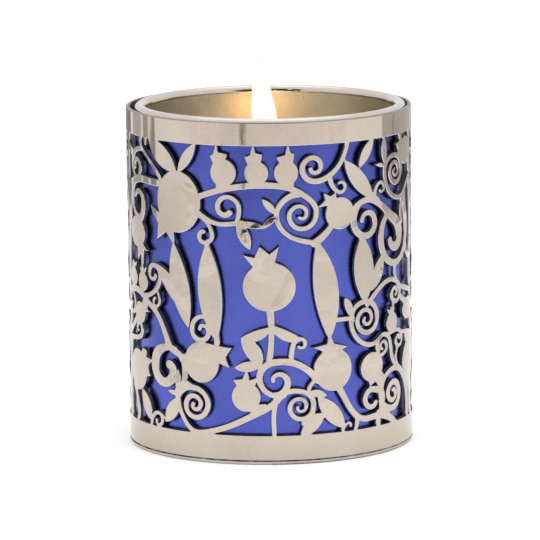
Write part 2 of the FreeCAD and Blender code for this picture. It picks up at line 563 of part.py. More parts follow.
def pierced_sleeve():
    pattern = flat_pattern()
    outside = rolled_surface(SLEEVE_R)
    inside = rolled_surface(SLEEVE_R - SLEEVE_WALL)
    outline = pattern.OuterWire
    holes = [wire for wire in pattern.Wires if not wire.isSame(outline)]
    holes = [wire for wire in holes if Part.Face(wire).Area > SMALLEST_HOLE]
    outer_loops, inner_loops, walls = [], [], []
    for wire in [outline] + holes:
        curves = [rolled_curve(edge) for edge in wire.OrderedEdges]
        outer_loops.append([curve.toShape(outside) for curve in curves])
        inner_loops.append([curve.toShape(inside) for curve in curves])
        walls += [Part.makeRuledSurface(a, b)
                  for a, b in zip(outer_loops[-1], inner_loops[-1])]
    skin = Part.Compound([rolled_face(outside, outer_loops),
                          rolled_face(inside, inner_loops)] + walls)
    skin.sewShape(1e-4)
    solid = Part.Solid(skin.Shells[0])
    if solid.Volume < 0:
        solid.reverse()
    return solid


# ---------------------------------------------------------------- turned and rolled pieces

def turned(profile_edges, angle=360):
    """A solid of revolution about Z from the edges of a closed profile in (r, z)."""
    wire = Part.Wire(Part.__sortEdges__(profile_edges))
    return Part.Face(wire).revolve(V(0, 0, 0), V(0, 0, 1), angle)


def side(*points):
    """Straight profile edges through (r, z) points."""
    corners = [V(r, 0, z) for r, z in points]
    return [Part.LineSegment(a, b).toShape() for a, b in zip(corners, corners[1:])]


def bend(start, through, end):
    return [Part.Arc(*(V(r, 0, z) for r, z in (start, through, end))).toShape()]


def base_plate():
    """A disc with a rounded lower edge and an upstanding rim that locates the liner."""
    rim_in = LOCATING_RIM_R - LOCATING_RIM_WALL
    r, k = SLEEVE_R, BASE_EDGE_ROUND
    diagonal = k * (1 - math.sqrt(0.5))
    edges = side((0, 0), (r - k, 0))
    edges += bend((r - k, 0), (r - diagonal, diagonal), (r, k))
    edges += side((r, k), (r, BASE_THICK - BASE_EDGE_CHAMFER), (r - BASE_EDGE_CHAMFER, BASE_THICK),
                  (LOCATING_RIM_R, BASE_THICK), (LOCATING_RIM_R, LOCATING_RIM_TOP),
                  (rim_in, LOCATING_RIM_TOP), (rim_in, BASE_THICK), (0, BASE_THICK), (0, 0))
    return turned(edges)


def blue_liner():
    """A rolled sheet tube with a narrow butt seam at the back."""
    inner = LINER_R - LINER_WALL
    tube = Part.makeCylinder(LINER_R, LINER_TOP - BASE_THICK, V(0, 0, BASE_THICK))
    tube = tube.cut(Part.makeCylinder(inner, LINER_TOP, V(0, 0, 0)))
    slit = Part.makeBox(LINER_SEAM_GAP, LINER_R, LINER_TOP, V(-LINER_SEAM_GAP / 2, 0, 0))
    return tube.cut(slit)


def seam_solder():
    """Flat solder beads behind the sleeve's seam, in the gap between sleeve and liner."""
    outer = SLEEVE_R - SLEEVE_WALL
    beads = []
    for height in SOLDER_HEIGHTS:
        foot = V(0, 0, height - SOLDER_LENGTH / 2)
        ring = Part.makeCylinder(outer, SOLDER_LENGTH, foot)
        ring = ring.cut(Part.makeCylinder(outer - SOLDER_DEPTH, SOLDER_LENGTH, foot))
        strip = Part.makeBox(SOLDER_WIDTH, SLEEVE_R, SLEEVE_TOP, V(-SOLDER_WIDTH / 2, 0, 0))
        beads += ring.common(strip).Solids
    return Part.Compound(beads)


def cup():
    """A straight steel tumbler with a rounded foot and a half-round rolled lip."""
    roll = CUP_LIP_WIDTH / 2
    roll_r, roll_z = CUP_MOUTH_R + roll, CUP_LIP_TOP - roll
    wall_r = CUP_MOUTH_R + CUP_WALL
    k, inner_k = CUP_CORNER, CUP_CORNER - CUP_WALL
    cut, inner_cut = (r * (1 - math.sqrt(0.5)) for r in (k, inner_k))
    foot_in, floor = CUP_FOOT_R - CUP_WALL, CUP_FOOT + CUP_WALL
    edges = side((0, CUP_FOOT), (CUP_FOOT_R - k, CUP_FOOT))
    edges += bend((CUP_FOOT_R - k, CUP_FOOT), (CUP_FOOT_R - cut, CUP_FOOT + cut),
                  (CUP_FOOT_R, CUP_FOOT + k))
    edges += side((CUP_FOOT_R, CUP_FOOT + k), (wall_r, roll_z - CUP_LIP_DROP),
                  (roll_r + roll, roll_z - CUP_LIP_DROP), (roll_r + roll, roll_z))
    edges += bend((roll_r + roll, roll_z), (roll_r, CUP_LIP_TOP), (CUP_MOUTH_R, roll_z))
    edges += side((CUP_MOUTH_R, roll_z), (foot_in, floor + inner_k))
    edges += bend((foot_in, floor + inner_k), (foot_in - inner_cut, floor + inner_cut),
                  (foot_in - inner_k, floor))
    edges += side((foot_in - inner_k, floor), (0, floor), (0, CUP_FOOT))
    return turned(edges)


def candle_tin():
    """A drawn tin with a rounded foot and a rolled bead round its rim."""
    inner = TIN_R - TIN_WALL
    floor = TIN_FOOT + TIN_WALL
    k, inner_k = TIN_CORNER, TIN_CORNER - TIN_WALL
    cut, inner_cut = (r * (1 - math.sqrt(0.5)) for r in (k, inner_k))
    bead_z = TIN_TOP - TIN_BEAD
    bead_r = TIN_R + TIN_BEAD - TIN_WALL / 2
    edges = side((0, TIN_FOOT), (TIN_R - k, TIN_FOOT))
    edges += bend((TIN_R - k, TIN_FOOT), (TIN_R - cut, TIN_FOOT + cut), (TIN_R, TIN_FOOT + k))
    edges += side((TIN_R, TIN_FOOT + k), (TIN_R, bead_z - TIN_BEAD), (bead_r, bead_z - TIN_BEAD))
    edges += bend((bead_r, bead_z - TIN_BEAD), (bead_r + TIN_BEAD, bead_z), (bead_r, TIN_TOP))
    edges += side((bead_r, TIN_TOP), (inner, TIN_TOP), (inner, floor + inner_k))
    edges += bend((inner, floor + inner_k), (inner - inner_cut, floor + inner_cut),
                  (inner - inner_k, floor))
    edges += side((inner - inner_k, floor), (0, floor), (0, TIN_FOOT))
    return turned(edges)


def wax_floor():
    return TIN_FOOT + TIN_WALL


def wax():
    """The wax that fills the tin, with a raised edge where it wets the tin's wall."""
    r = TIN_R - TIN_WALL
    floor = wax_floor()
    k = TIN_CORNER - TIN_WALL
    cut = k * (1 - math.sqrt(0.5))
    edges = side((0, floor), (r - k, floor))
    edges += bend((r - k, floor), (r - cut, floor + cut), (r, floor + k))
    edges += side((r, floor + k), (r, WAX_TOP + WAX_MENISCUS))
    edges += bend((r, WAX_TOP + WAX_MENISCUS), (r - 0.8 * WAX_MENISCUS, WAX_TOP + 0.2),
                  (r - 3 * WAX_MENISCUS, WAX_TOP))
    edges += side((r - 3 * WAX_MENISCUS, WAX_TOP), (0, WAX_TOP), (0, floor))
    return turned(edges).cut(wick_sustainer_block()).cut(wick())


def wick_sustainer_block():
    """The sustainer with no bore, which is the room that it takes up in the wax."""
    floor = wax_floor()
    disc = Part.makeCylinder(SUSTAINER_R, SUSTAINER_THICK, V(0, 0, floor))
    neck = Part.makeCylinder(SUSTAINER_NECK_R, SUSTAINER_NECK_TOP, V(0, 0, floor))
    return disc.fuse(neck).removeSplitter()


def wick_sustainer():
    """The pressed metal disc and neck that hold the wick's foot."""
    bore = Part.makeCylinder(WICK_R, SUSTAINER_NECK_TOP, V(0, 0, wax_floor() + SUSTAINER_THICK))
    return wick_sustainer_block().cut(bore)


def wick():
    """A round wick, straight in the wax, whose burnt end leans over to the left."""
    foot_z = wax_floor() + SUSTAINER_THICK
    bend_z = WAX_TOP + 1.5
    rise = WICK_TOP - bend_z
    bend_r = (WICK_LEAN ** 2 + rise ** 2) / (2 * WICK_LEAN)
    angle = math.degrees(math.asin(rise / bend_r))
    straight = Part.makeCylinder(WICK_R, bend_z - foot_z, V(0, 0, foot_z))
    disc = Part.Face(Part.Wire(Part.Circle(V(0, 0, bend_z), V(0, 0, 1), WICK_R).toShape()))
    bent = disc.revolve(V(-bend_r, 0, bend_z), V(0, -1, 0), angle)
    return straight.fuse(bent)


# ---------------------------------------------------------------- write the parts

def main():
    os.makedirs("parts", exist_ok=True)
    offset = V(CUP_OFFSET, 0, 0)
    held = {"base_plate": base_plate, "pierced_sleeve": pierced_sleeve,
            "blue_liner": blue_liner, "seam_solder": seam_solder}
    lifted = {"cup": cup, "candle_tin": candle_tin, "wax": wax,
              "wick_sustainer": wick_sustainer, "wick": wick}
    for name, make in {**held, **lifted}.items():
        shape = make()
        if name in lifted:
            shape.translate(offset)
        shape.exportStep(f"parts/{name}.step")
        print(name, "solids", len(shape.Solids), "volume", round(shape.Volume, 1),
              "valid", shape.isValid())


main()
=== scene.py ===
import math

import bmesh
import bpy
from mathutils import Matrix, Vector
from mathutils.geometry import delaunay_2d_cdt


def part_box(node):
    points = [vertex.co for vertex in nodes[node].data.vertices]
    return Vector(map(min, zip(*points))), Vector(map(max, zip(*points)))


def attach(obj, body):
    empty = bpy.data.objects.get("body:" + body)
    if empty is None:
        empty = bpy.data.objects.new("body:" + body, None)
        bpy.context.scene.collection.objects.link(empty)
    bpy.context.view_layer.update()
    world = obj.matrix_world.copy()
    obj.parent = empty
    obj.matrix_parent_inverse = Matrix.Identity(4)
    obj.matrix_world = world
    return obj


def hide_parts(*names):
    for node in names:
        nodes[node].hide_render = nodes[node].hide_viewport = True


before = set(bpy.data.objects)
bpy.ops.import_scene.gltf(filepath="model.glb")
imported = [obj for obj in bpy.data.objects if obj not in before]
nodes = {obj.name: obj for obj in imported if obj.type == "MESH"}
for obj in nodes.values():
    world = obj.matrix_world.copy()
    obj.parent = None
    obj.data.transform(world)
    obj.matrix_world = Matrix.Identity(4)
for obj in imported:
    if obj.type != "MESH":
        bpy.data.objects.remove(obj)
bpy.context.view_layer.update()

MM = 0.001


# ---------------------------------------------------------------- sizes, in mm

def middle_x(node):
    low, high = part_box(node)
    return (low.x + high.x) / 2 / MM


def across(node):
    low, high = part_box(node)
    return (high.x - low.x) / MM


SLEEVE_R = across("pierced_sleeve") / 2
SLEEVE_WALL = 0.9
EDGE_ROUND = 0.26          # the polished rounding of every cut edge
EDGE_STEPS = 3             # faces across that rounding
STRIP = 1.2                # width of the strips that keep the sleeve's faces near its curve
CUP_X = middle_x("cup")
CUP_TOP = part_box("cup")[1].z / MM
WAX_TOP = 64.0
WICK_R = 0.72
POOL_R = 17.5


# ---------------------------------------------------------------- node helpers

class Nodes:
    """A node tree, with short ways to add the nodes used here."""

    def __init__(self, owner, output, coordinates):
        owner.use_nodes = True
        self.tree = owner.node_tree
        self.tree.nodes.clear()
        self.surface = self.add(output).inputs["Surface"]
        self.place = self.add("ShaderNodeTexCoord").outputs[coordinates]

    def add(self, kind, **settings):
        node = self.tree.nodes.new(kind)
        for key, value in settings.items():
            setattr(node, key, value)
        return node

    def put(self, value, socket):
        """Links a socket, or sets a plain value, on a socket."""
        if isinstance(value, bpy.types.NodeSocket):
            self.tree.links.new(value, socket)
        else:
            socket.default_value = value

    def calc(self, operation, a, b=0.0):
        node = self.add("ShaderNodeMath", operation=operation)
        self.put(a, node.inputs[0])
        self.put(b, node.inputs[1])
        return node.outputs[0]

    def scaled(self, x, y, z, vector=None):
        node = self.add("ShaderNodeMapping")
        self.tree.links.new(vector or self.place, node.inputs["Vector"])
        node.inputs["Scale"].default_value = (x, y, z)
        return node.outputs[0]

    def noise(self, vector, scale, detail=3.0, roughness=0.5, distortion=0.0):
        node = self.add("ShaderNodeTexNoise")
        self.tree.links.new(vector, node.inputs["Vector"])
        node.inputs["Scale"].default_value = scale
        node.inputs["Detail"].default_value = detail
        node.inputs["Roughness"].default_value = roughness
        node.inputs["Distortion"].default_value = distortion
        return node.outputs["Fac"]

    def spread(self, value, low, high, to_low=0.0, to_high=1.0):
        node = self.add("ShaderNodeMapRange", clamp=True)
        self.put(value, node.inputs["Value"])
        for key, number in (("From Min", low), ("From Max", high),
                            ("To Min", to_low), ("To Max", to_high)):
            node.inputs[key].default_value = number
        return node.outputs["Result"]

    def ramp(self, value, stops):
        node = self.add("ShaderNodeValToRGB")
        self.put(value, node.inputs["Fac"])
        bar = node.color_ramp
        bar.elements[0].position, bar.elements[0].color = stops[0][0], (*stops[0][1], 1)
        bar.elements[1].position, bar.elements[1].color = stops[-1][0], (*stops[-1][1], 1)
        for place, colour in stops[1:-1]:
            bar.elements.new(place).color = (*colour, 1)
        return node.outputs["Color"]

    def blend(self, share, a, b):
        node = self.add("ShaderNodeMix", data_type="RGBA")
        self.put(share, node.inputs["Factor"])
        self.put(a if isinstance(a, bpy.types.NodeSocket) else (*a, 1), node.inputs["A"])
        self.put(b if isinstance(b, bpy.types.NodeSocket) else (*b, 1), node.inputs["B"])
        return node.outputs["Result"]

    def shaded(self, colour, value):
        """The colour, made lighter or darker by a value."""
        node = self.add("ShaderNodeHueSaturation")
        self.put(colour, node.inputs["Color"])
        self.put(value, node.inputs["Value"])
        return node.outputs[0]

    def axes(self, vector=None):
        node = self.add("ShaderNodeSeparateXYZ")
        self.put(vector or self.place, node.inputs[0])
        return node.outputs

    def towards(self, direction, far, near, at_far, at_near):
        """at_far from far degrees off the direction, at_near within near degrees of it."""
        node = self.add("ShaderNodeVectorMath", operation="DOT_PRODUCT")
        self.put(self.place, node.inputs[0])
        self.put(direction, node.inputs[1])
        return self.spread(node.outputs["Value"], math.cos(math.radians(far)),
                           math.cos(math.radians(near)), at_far, at_near)


class Shader(Nodes):
    """A material's nodes."""

    def __init__(self, name):
        self.material = bpy.data.materials.new(name)
        super().__init__(self.material, "ShaderNodeOutputMaterial", "Object")

    def bump(self, height, distance, normal=None):
        node = self.add("ShaderNodeBump")
        node.inputs["Distance"].default_value = distance
        self.put(height, node.inputs["Height"])
        if normal:
            self.put(normal, node.inputs["Normal"])
        return node.outputs["Normal"]

    def facing(self):
        """The X, Y and Z of the surface's normal."""
        return self.axes(self.add("ShaderNodeNewGeometry").outputs["Normal"])

    def round_axis(self):
        """Angle round the Z axis, distance from it and height: as one vector, and each alone."""
        x, y, z = self.axes()
        angle = self.calc("ARCTAN2", x, self.calc("MULTIPLY", y, -1.0))
        radius = self.calc("SQRT", self.calc("ADD", self.calc("MULTIPLY", x, x),
                                             self.calc("MULTIPLY", y, y)))
        node = self.add("ShaderNodeCombineXYZ")
        self.put(angle, node.inputs[0])
        self.put(radius, node.inputs[1])
        self.put(z, node.inputs[2])
        return node.outputs[0], angle, radius, z

    def principled(self, **values):
        node = self.add("ShaderNodeBsdfPrincipled")
        for key, value in values.items():
            self.put(value, node.inputs[key.replace("_", " ")])
        self.put(node.outputs[0], self.surface)
        return node

    def glow(self, colour, strength, solid):
        """Plain light of a colour. What isn't solid is clear."""
        light = self.add("ShaderNodeEmission")
        self.put(colour, light.inputs["Color"])
        self.put(strength, light.inputs["Strength"])
        mixed = self.add("ShaderNodeMixShader")
        self.put(solid, mixed.inputs[0])
        self.put(self.add("ShaderNodeBsdfTransparent").outputs[0], mixed.inputs[1])
        self.put(light.outputs[0], mixed.inputs[2])
        self.put(mixed.outputs[0], self.surface)


# ---------------------------------------------------------------- materials

def polished_sheet(name, low, middle, high):
    """Warm polished nickel, slightly wavy, with faint smudges and a fine vertical polish.

    Between the two plain bands, patches of it are softly bent.
    """
    s = Shader(name)
    round_place, _, _, z = s.round_axis()
    smudge = s.noise(s.place, 70.0, 5.0, 0.62, 0.5)
    polish = s.noise(s.scaled(900.0, 1.0, 60.0, round_place), 1.0, 2.0)
    grain = s.noise(s.place, 4200.0, 2.0, 0.6)
    colour = s.ramp(s.calc("ADD", s.calc("MULTIPLY", smudge, 0.82),
                           s.calc("MULTIPLY", grain, 0.18)),
                    [(0.30, low), (0.52, middle), (0.74, high)])
    spots = s.spread(s.noise(s.place, 420.0, 4.0, 0.72), 0.60, 0.74, 0.0, 0.22)
    mottle = s.spread(s.noise(s.place, 2600.0, 3.0, 0.65), 0.34, 0.66, 0.945, 1.05)
    rough = s.calc("ADD", s.spread(smudge, 0.35, 0.75, 0.045, 0.090),
                   s.spread(polish, 0.3, 0.7, 0.0, 0.02))
    wave = s.noise(s.scaled(9.0, 0.0, 60.0, round_place), 1.0, 1.0)
    above_foot = s.spread(z, 0.010, 0.014)
    below_rim = s.spread(z, 0.064, 0.068, 1.0, 0.0)
    bent = s.calc("MULTIPLY", s.spread(s.noise(s.place, 75.0, 1.0), 0.57, 0.68),
                  s.calc("MULTIPLY", above_foot, below_rim))
    normal = s.bump(wave, 0.00006)
    normal = s.bump(s.calc("MULTIPLY", bent, s.noise(s.place, 130.0, 2.0)), 0.0007, normal)
    normal = s.bump(polish, 0.0000012, normal)
    s.principled(Base_Color=s.shaded(s.blend(spots, colour, (0.30, 0.28, 0.26)), mottle),
                 Metallic=1.0, Roughness=rough, Normal=normal)
    return s.material


def rounded_edge():
    """The polished rounding of the cut edges.

    It has a painted highlight where it faces down, and painted shade where it faces up, less on
    the rim.
    """
    s = Shader("rounded_edge")
    z = s.axes()[2]
    normal_z = s.facing()[2]
    smudge = s.noise(s.place, 260.0, 4.0, 0.6)
    bright = s.ramp(smudge, [(0.3, (0.42, 0.40, 0.45)), (0.7, (0.50, 0.48, 0.54))])
    # Painted highlight: the rounding is lighter where it faces down.
    down = s.spread(normal_z, -0.6, -0.2, 1.0, 0.0)
    bright = s.blend(down, bright, (0.60, 0.58, 0.61))
    # On the top rim the rounding takes a duller, warmer tone.
    at_rim = s.spread(z, 0.0800, 0.0808)
    bright = s.blend(at_rim, bright, (0.44, 0.40, 0.36))
    # Painted shade, near black, where the rounding faces up, weaker on the top rim; it is rougher
    # there too.
    up = s.calc("ADD", normal_z, s.spread(smudge, 0.3, 0.7, -0.10, 0.10))
    upward_shade = s.calc("MULTIPLY", s.spread(up, 0.22, 0.50), s.spread(at_rim, 0.0, 1.0, 1.0, 0.45))
    s.principled(Base_Color=s.blend(upward_shade, bright, (0.018, 0.016, 0.022)), Metallic=1.0,
                 Roughness=s.calc("ADD", s.spread(smudge, 0.3, 0.7, 0.10, 0.18),
                                  s.calc("MULTIPLY", upward_shade, 0.30)),
                 Normal=s.bump(smudge, 0.000006))
    return s.material


def cut_wall():
    """The sheet's cut thickness: darker and rougher, with fine cutting lines across it."""
    s = Shader("cut_wall")
    round_place = s.round_axis()[0]
    lines = s.noise(s.scaled(700.0, 200.0, 20000.0, round_place), 1.0, 2.0)
    colour = s.ramp(s.noise(s.place, 400.0, 3.0), [(0.3, (0.20, 0.18, 0.16)),
                                                   (0.7, (0.34, 0.31, 0.28))])
    s.principled(Base_Color=colour, Metallic=1.0, Roughness=s.spread(lines, 0.3, 0.7, 0.35, 0.55),
                 Normal=s.bump(lines, 0.00002))
    return s.material


def blue_anodised():
    """Satin blue anodised sheet: fine grain, a slow drift of shade round the tube, and painted
    shade towards the top.
    """
    s = Shader("blue_anodised")
    round_place, _, _, z = s.round_axis()
    drift = s.noise(s.scaled(1.6, 1.0, 22.0, round_place), 1.0, 2.0)
    grain = s.noise(s.place, 5200.0, 2.0, 0.7)
    colour = s.ramp(drift, [(0.25, (0.073, 0.092, 0.374)), (0.55, (0.081, 0.101, 0.402)),
                            (0.85, (0.103, 0.113, 0.428))])
    patches = s.noise(s.scaled(3.0, 1.0, 60.0, round_place), 1.0, 2.0)
    # Painted shade: the blue darkens towards the top.
    painted_shade_above = s.spread(z, 0.050, 0.078, 1.02, 0.87)
    fleck_and_shade = s.calc("MULTIPLY", s.spread(grain, 0.35, 0.65, 0.92, 1.06),
                   s.calc("MULTIPLY", painted_shade_above, s.spread(patches, 0.3, 0.7, 0.92, 1.08)))
    s.principled(Base_Color=s.shaded(colour, fleck_and_shade), Metallic=1.0,
                 Roughness=s.spread(grain, 0.3, 0.7, 0.22, 0.30),
                 Normal=s.bump(grain, 0.000012))
    return s.material


def spun_steel(name, colours, rough_low, rough_high, line_depth):
    """Steel turned or spun on its axis, with fine rings round it."""
    s = Shader(name)
    round_place = s.round_axis()[0]
    rings = s.noise(s.scaled(1.5, 9000.0, 9000.0, round_place), 1.0, 3.0, 0.6)
    stain = s.noise(s.place, 70.0, 4.0, 0.6)
    colour = s.ramp(stain, [(0.3, colours[0]), (0.7, colours[1])])
    rough = s.calc("ADD", s.spread(stain, 0.35, 0.7, rough_low, rough_high),
                   s.spread(rings, 0.3, 0.7, 0.0, 0.08))
    s.principled(Base_Color=colour, Metallic=1.0, Roughness=rough,
                 Normal=s.bump(rings, line_depth))
    return s.material


def base_metal():
    """Turned steel, with painted shade in the joint under the sleeve, weaker towards the right.
    """
    s = Shader("base_metal")
    round_place, angle, radius, z = s.round_axis()
    rings = s.noise(s.scaled(1.5, 9000.0, 9000.0, round_place), 1.0, 3.0, 0.6)
    stain = s.noise(s.place, 90.0, 4.0, 0.6)
    steel = s.ramp(stain, [(0.3, (0.46, 0.41, 0.36)), (0.7, (0.56, 0.51, 0.45))])
    # Painted shade: a dark line in the joint under the sleeve, uneven round it and weaker to the
    # right.
    joint = s.calc("MULTIPLY", s.spread(z, 0.00070, 0.00082), s.spread(radius, 0.0342, 0.0345))
    uneven = s.spread(s.noise(s.scaled(11.0, 1.0, 1.0, round_place), 1.0, 4.0),
                      0.34, 0.56, 0.45, 1.0)
    less_at_right = s.spread(angle, 0.2, 1.2, 1.0, 0.6)
    joint_shade = s.calc("MULTIPLY", joint, s.calc("MULTIPLY", uneven, less_at_right))
    s.principled(Base_Color=s.blend(joint_shade, steel, (0.02, 0.018, 0.016)), Metallic=1.0,
                 Roughness=s.calc("ADD", s.spread(stain, 0.35, 0.7, 0.16, 0.26),
                                  s.calc("MULTIPLY", joint_shade, 0.4)),
                 Normal=s.bump(rings, 0.000004))
    return s.material


def cup_steel():
    """The cup: a polished rolled lip, and satin steel with a painted warm glow of the candle's
    light inside.
    """
    s = Shader("cup_steel")
    round_place = s.round_axis()[0]
    x, y, z = s.axes()
    drawn = s.noise(s.scaled(160.0, 40.0, 500.0, round_place), 1.0, 4.0, 0.65)
    stain = s.noise(s.scaled(5.0, 1.0, 120.0, round_place), 1.0, 4.0, 0.6)
    # Painted light: the steel inside is warmer and lighter than outside, as the candle's glow on
    # it.
    inside = s.ramp(stain, [(0.28, (0.520, 0.485, 0.395)), (0.5, (0.600, 0.560, 0.460)),
                            (0.75, (0.665, 0.625, 0.525))])
    clean = s.ramp(stain, [(0.3, (0.50, 0.49, 0.47)), (0.7, (0.60, 0.59, 0.57))])
    normal_x, normal_y, _ = s.facing()
    outward = s.calc("ADD", s.calc("MULTIPLY", normal_x, x), s.calc("MULTIPLY", normal_y, y))
    satin = s.blend(s.spread(outward, 0.002, 0.010), inside, clean)
    lip_tone = s.ramp(stain, [(0.3, (0.535, 0.480, 0.425)), (0.7, (0.620, 0.560, 0.500))])
    lip = s.spread(s.calc("ADD", z, s.calc("MULTIPLY", drawn, 0.0003)), CUP_TOP * MM - 0.00175,
                   CUP_TOP * MM - 0.00130)
    s.principled(Base_Color=s.blend(lip, satin, lip_tone), Metallic=1.0,
                 Roughness=s.calc("MULTIPLY", s.spread(drawn, 0.3, 0.7, 0.26, 0.38),
                                  s.spread(lip, 0.0, 1.0, 1.0, 0.28)),
                 Normal=s.bump(drawn, 0.000008))
    return s.material


def solder_metal():
    """Dull grey solder with a lumpy surface."""
    s = Shader("solder_metal")
    lump = s.noise(s.place, 900.0, 4.0, 0.6)
    colour = s.ramp(lump, [(0.3, (0.28, 0.28, 0.27)), (0.7, (0.50, 0.50, 0.48))])
    s.principled(Base_Color=colour, Metallic=1.0, Roughness=s.spread(lump, 0.3, 0.7, 0.35, 0.6),
                 Normal=s.bump(lump, 0.0001))
    return s.material


def candle_wax():
    """Cream wax: soft light inside it, a faint mottle and tiny pits."""
    s = Shader("candle_wax")
    mottle = s.noise(s.place, 120.0, 5.0, 0.65)
    pits = s.noise(s.place, 1800.0, 3.0)
    colour = s.ramp(mottle, [(0.3, (0.78, 0.70, 0.55)), (0.7, (0.88, 0.82, 0.69))])
    height = s.calc("ADD", mottle, s.calc("MULTIPLY", pits, 0.12))
    s.principled(Base_Color=colour, Roughness=s.spread(mottle, 0.3, 0.7, 0.32, 0.50),
                 Subsurface_Weight=0.45, Subsurface_Radius=(0.9, 0.6, 0.35),
                 Subsurface_Scale=0.004, IOR=1.44, Normal=s.bump(height, 0.00016))
    return s.material


def melted_wax():
    """The clear pool of melted wax round the wick."""
    s = Shader("melted_wax")
    depth = s.noise(s.place, 160.0, 3.0)
    colour = s.ramp(depth, [(0.3, (0.86, 0.74, 0.48)), (0.7, (0.92, 0.82, 0.60))])
    s.principled(Base_Color=colour, Roughness=0.05, Transmission_Weight=0.55, IOR=1.43,
                 Normal=s.bump(depth, 0.00008))
    return s.material


def burnt_wick():
    """A braided cotton wick, waxy at its foot, charred above, with an ember at its tip."""
    s = Shader("burnt_wick")
    z = s.axes()[2]
    braid = s.add("ShaderNodeTexWave", bands_direction="DIAGONAL")
    s.put(s.place, braid.inputs["Vector"])
    braid.inputs["Scale"].default_value = 900.0
    braid.inputs["Distortion"].default_value = 3.0
    weave = braid.outputs["Fac"]
    waxy = s.ramp(weave, [(0.2, (0.62, 0.52, 0.34)), (0.8, (0.84, 0.76, 0.58))])
    charred = s.ramp(weave, [(0.2, (0.012, 0.010, 0.009)), (0.8, (0.060, 0.048, 0.040))])
    burnt = s.spread(s.calc("ADD", z, s.calc("MULTIPLY", s.noise(s.place, 900.0), 0.0016)),
                     0.0655, 0.0668)
    ember = s.spread(z, 0.0700, 0.0709)
    glow = s.principled(Base_Color=s.blend(burnt, waxy, charred), Roughness=0.9,
                        Normal=s.bump(weave, 0.00012))
    glow.inputs["Emission Color"].default_value = (1.0, 0.22, 0.04, 1)
    s.put(s.calc("MULTIPLY", ember, 4.0), glow.inputs["Emission Strength"])
    return s.material


def greys(*stops):
    """Stops of a ramp, from (place, brightness) pairs."""
    return [(place, (level,) * 3) for place, level in stops]


def flame_light(name, body, tip, strength, thickness):
    """A candle flame: blue and faint at its foot, then the body's colour, then the tip's."""
    s = Shader(name)
    foot, head = 0.0670, 0.0956
    height = s.spread(s.axes()[2], foot, head)
    colour = s.ramp(height, [(0.00, (0.10, 0.20, 1.00)), (0.16, (0.80, 0.52, 0.40)),
                             (0.34, body), (0.80, body), (1.00, tip)])
    lick = s.noise(s.scaled(260.0, 260.0, 90.0), 1.0, 2.0)
    power = s.ramp(height, greys((0.00, 0.05), (0.15, 0.20), (0.32, 0.95), (1.00, 1.00)))
    solid = s.ramp(height, greys((0.00, 0.10), (0.18, 0.45), (0.36, 1.00), (1.00, 1.00)))
    s.glow(colour,
           s.calc("MULTIPLY", power, s.spread(lick, 0.3, 0.7, 0.93 * strength, 1.05 * strength)),
           s.calc("MULTIPLY", solid, thickness))
    return s.material


def plain_floor():
    """White paper, with a wide band of painted shade round the holder's front and sides."""
    s = Shader("plain_floor")
    _, angle, radius, _ = s.round_axis()
    behind = s.spread(s.calc("ABSOLUTE", angle), 2.30, 2.75)
    colour = s.ramp(s.noise(s.place, 300.0, 2.0), greys((0.3, 0.88), (0.7, 0.90)))
    # Painted shade on the floor: greyer round the front and sides, which the metal reflects.
    ring = s.ramp(s.spread(radius, 0.08, 0.60),
                  greys((0.02, 1.00), (0.10, 0.90), (0.23, 0.88), (0.31, 0.80), (0.56, 0.77),
                        (0.67, 0.84), (0.80, 0.92), (1.00, 1.00)))
    s.principled(Base_Color=s.shaded(colour, s.blend(behind, ring, (1.0, 1.0, 1.0))),
                 Roughness=0.7)
    return s.material


# ---------------------------------------------------------------- objects

def dress(node, material):
    """Gives a CAD node its material, in place of the plain packed one."""
    mesh = nodes[node].data
    mesh.materials.clear()
    mesh.materials.append(material)


def in_scene(name, data):
    """A new object in the scene, for a mesh, a light or a camera."""
    made = bpy.data.objects.new(name, data)
    bpy.context.scene.collection.objects.link(made)
    return made


def shape(name, points, faces, material, smooth=False):
    """A new object of points, in metres, and faces."""
    mesh = bpy.data.meshes.new(name)
    mesh.from_pydata(points, [], faces)
    mesh.polygons.foreach_set("use_smooth", [smooth] * len(faces))
    mesh.materials.append(material)
    return in_scene(name, mesh)


# ---------------------------------------------------------------- the pierced sleeve

def outlines(node):
    """The outlines of the node's outer face as closed loops of flat points, in mm.

    A flat point is (distance round the sleeve from the middle of the front, height). The
    metal is on each loop's left.
    """
    mesh = bmesh.new()
    mesh.from_mesh(node.data)
    bmesh.ops.remove_doubles(mesh, verts=mesh.verts, dist=1e-6)
    reach = SLEEVE_R * MM
    outer = {}                 # a dictionary keeps its order, so every run starts alike
    for face in mesh.faces:
        on_outside = all(abs(math.hypot(v.co.x, v.co.y) - reach) < 2e-5 for v in face.verts)
        if on_outside and abs(face.normal.z) < 0.5:
            outer[face] = True

    def is_edge(corner):
        return not any(f in outer for f in corner.edge.link_faces if f is not corner.face)

    waiting = {corner: True for face in outer for corner in face.loops if is_edge(corner)}
    loops = []
    while waiting:
        corner = start = next(iter(waiting))
        loop = []
        while True:
            waiting.pop(corner)
            co = corner.vert.co
            loop.append(Vector((math.atan2(co.x, -co.y) * SLEEVE_R, co.z / MM)))
            corner = corner.link_loop_next
            while not is_edge(corner):
                corner = corner.link_loop_radial_next.link_loop_next
            if corner is start:
                break
        loops.append(loop)
    mesh.free()
    return loops


def evened(loop, shortest=0.09, longest=0.8):
    """The loop with its crowded points thinned out and its long sides divided."""
    kept = [loop[0]]
    for point in loop[1:]:
        if (point - kept[-1]).length > shortest:
            kept.append(point)
    if (kept[0] - kept[-1]).length < shortest:
        kept.pop()
    even = []
    for here, after in zip(kept, kept[1:] + kept[:1]):
        parts = max(1, math.ceil((after - here).length / longest))
        even += [here.lerp(after, i / parts) for i in range(parts)]
    return even


